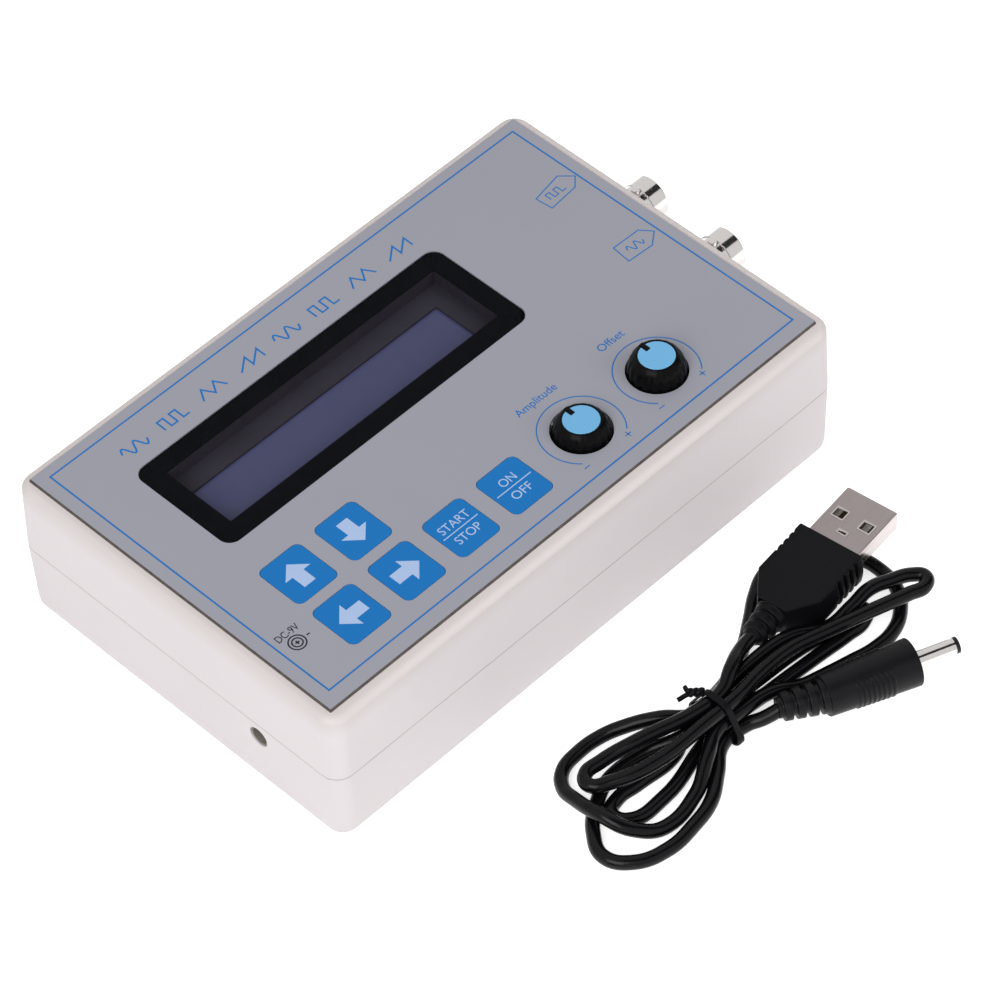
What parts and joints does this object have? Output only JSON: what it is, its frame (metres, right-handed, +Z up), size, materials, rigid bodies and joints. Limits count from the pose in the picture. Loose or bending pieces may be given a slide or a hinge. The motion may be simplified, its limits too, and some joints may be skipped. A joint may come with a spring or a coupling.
{
  "type": "function generator",
  "caption": "Desktop function generator: plastic case, display window, membrane keys, two knobs and two coaxial sockets, with a tied power lead beside it.",
  "frame": {"origin": "centre of the case on the plane that it stands on", "axes": "+Z up; +X along the case towards the output sockets; +Y across the case towards the top of the panel as it is read"},
  "size_m": [0.1528, 0.1467, 0.0417],
  "materials": {
    "shell_plastic": "matte, fine grain",
    "label_film": "matte printed film",
    "window": "clear",
    "black_print": "gloss",
    "circuit_board": "satin",
    "frame_metal": "satin",
    "display_glass": "gloss",
    "white_plastic": "matte",
    "black_plastic": "matte",
    "component_metal": "satin",
    "capacitor_sleeve": "satin",
    "key_film": "matte printed film",
    "knob_plastic": "satin",
    "cap_plastic": "satin",
    "shaft_metal": "satin",
    "nickel": "bright nickel",
    "gold": "bright",
    "screw_steel": "zinc",
    "lead_rubber": "satin"
  },
  "bodies": {
    "generator": {"bottom_shell": "shell_plastic", "top_shell": "shell_plastic", "panel_label": "label_film", "display_window": "window", "display_mask": "black_print", "lcd_board": "circuit_board", "lcd_bezel": "frame_metal", "lcd_glass": "display_glass", "lcd_backlight": "white_plastic", "lcd_header": "black_plastic", "main_board": "circuit_board", "microcontroller": "black_plastic", "output_amplifier": "black_plastic", "crystal": "component_metal", "capacitors": "capacitor_sleeve", "key_switches": "black_plastic", "amplitude_pot": "black_plastic", "offset_pot": "black_plastic", "bnc_1_housing": "black_plastic", "bnc_2_housing": "black_plastic", "bnc_1_barrel": "nickel", "bnc_2_barrel": "nickel", "bnc_1_insulator": "white_plastic", "bnc_2_insulator": "white_plastic", "bnc_1_contact": "gold", "bnc_2_contact": "gold", "dc_jack": "black_plastic", "dc_jack_pin": "nickel", "case_screws": "screw_steel", "board_screws": "screw_steel", "display_screws": "screw_steel"},
    "key_up": {"key_up": "key_film", "plunger_up": "white_plastic"},
    "key_down": {"key_down": "key_film", "plunger_down": "white_plastic"},
    "key_left": {"key_left": "key_film", "plunger_left": "white_plastic"},
    "key_right": {"key_right": "key_film", "plunger_right": "white_plastic"},
    "key_start_stop": {"key_start_stop": "key_film", "plunger_start_stop": "white_plastic"},
    "key_on_off": {"key_on_off": "key_film", "plunger_on_off": "white_plastic"},
    "amplitude_control": {"amplitude_shaft": "shaft_metal", "amplitude_knob": "knob_plastic", "amplitude_cap": "cap_plastic"},
    "offset_control": {"offset_shaft": "shaft_metal", "offset_knob": "knob_plastic", "offset_cap": "cap_plastic"},
    "power_lead": {"usb_shell": "nickel", "usb_insert": "white_plastic", "usb_contacts": "gold", "usb_grip": "lead_rubber", "power_cable": "lead_rubber", "cable_tie": "lead_rubber", "dc_plug_body": "lead_rubber", "dc_plug_barrel": "nickel", "dc_plug_tip": "black_plastic"}
  },
  "joints": [
    {"name": "press_up", "type": "slide", "parent": "generator", "child": "key_up", "axis": [0, 0, 1], "range_m": [-0.0003, 0], "stiffness_N_per_m": 900, "springref_m": 0.0003},
    {"name": "press_down", "type": "slide", "parent": "generator", "child": "key_down", "axis": [0, 0, 1], "range_m": [-0.0003, 0], "stiffness_N_per_m": 900, "springref_m": 0.0003},
    {"name": "press_left", "type": "slide", "parent": "generator", "child": "key_left", "axis": [0, 0, 1], "range_m": [-0.0003, 0], "stiffness_N_per_m": 900, "springref_m": 0.0003},
    {"name": "press_right", "type": "slide", "parent": "generator", "child": "key_right", "axis": [0, 0, 1], "range_m": [-0.0003, 0], "stiffness_N_per_m": 900, "springref_m": 0.0003},
    {"name": "press_start_stop", "type": "slide", "parent": "generator", "child": "key_start_stop", "axis": [0, 0, 1], "range_m": [-0.0003, 0], "stiffness_N_per_m": 900, "springref_m": 0.0003},
    {"name": "press_on_off", "type": "slide", "parent": "generator", "child": "key_on_off", "axis": [0, 0, 1], "range_m": [-0.0003, 0], "stiffness_N_per_m": 900, "springref_m": 0.0003},
    {"name": "turn_amplitude", "type": "hinge", "parent": "generator", "child": "amplitude_control", "pos_m": [0.0151, -0.0275, 0.0372], "axis": [0, 0, 1], "range_deg": [-140, 140]},
    {"name": "turn_offset", "type": "hinge", "parent": "generator", "child": "offset_control", "pos_m": [0.0365, -0.0275, 0.0372], "axis": [0, 0, 1], "range_deg": [-140, 140]},
    {"name": "lift_lead", "type": "slide", "parent": "generator", "child": "power_lead", "axis": [0, 0, 1], "range_m": [0, 0.06]}
  ]
}
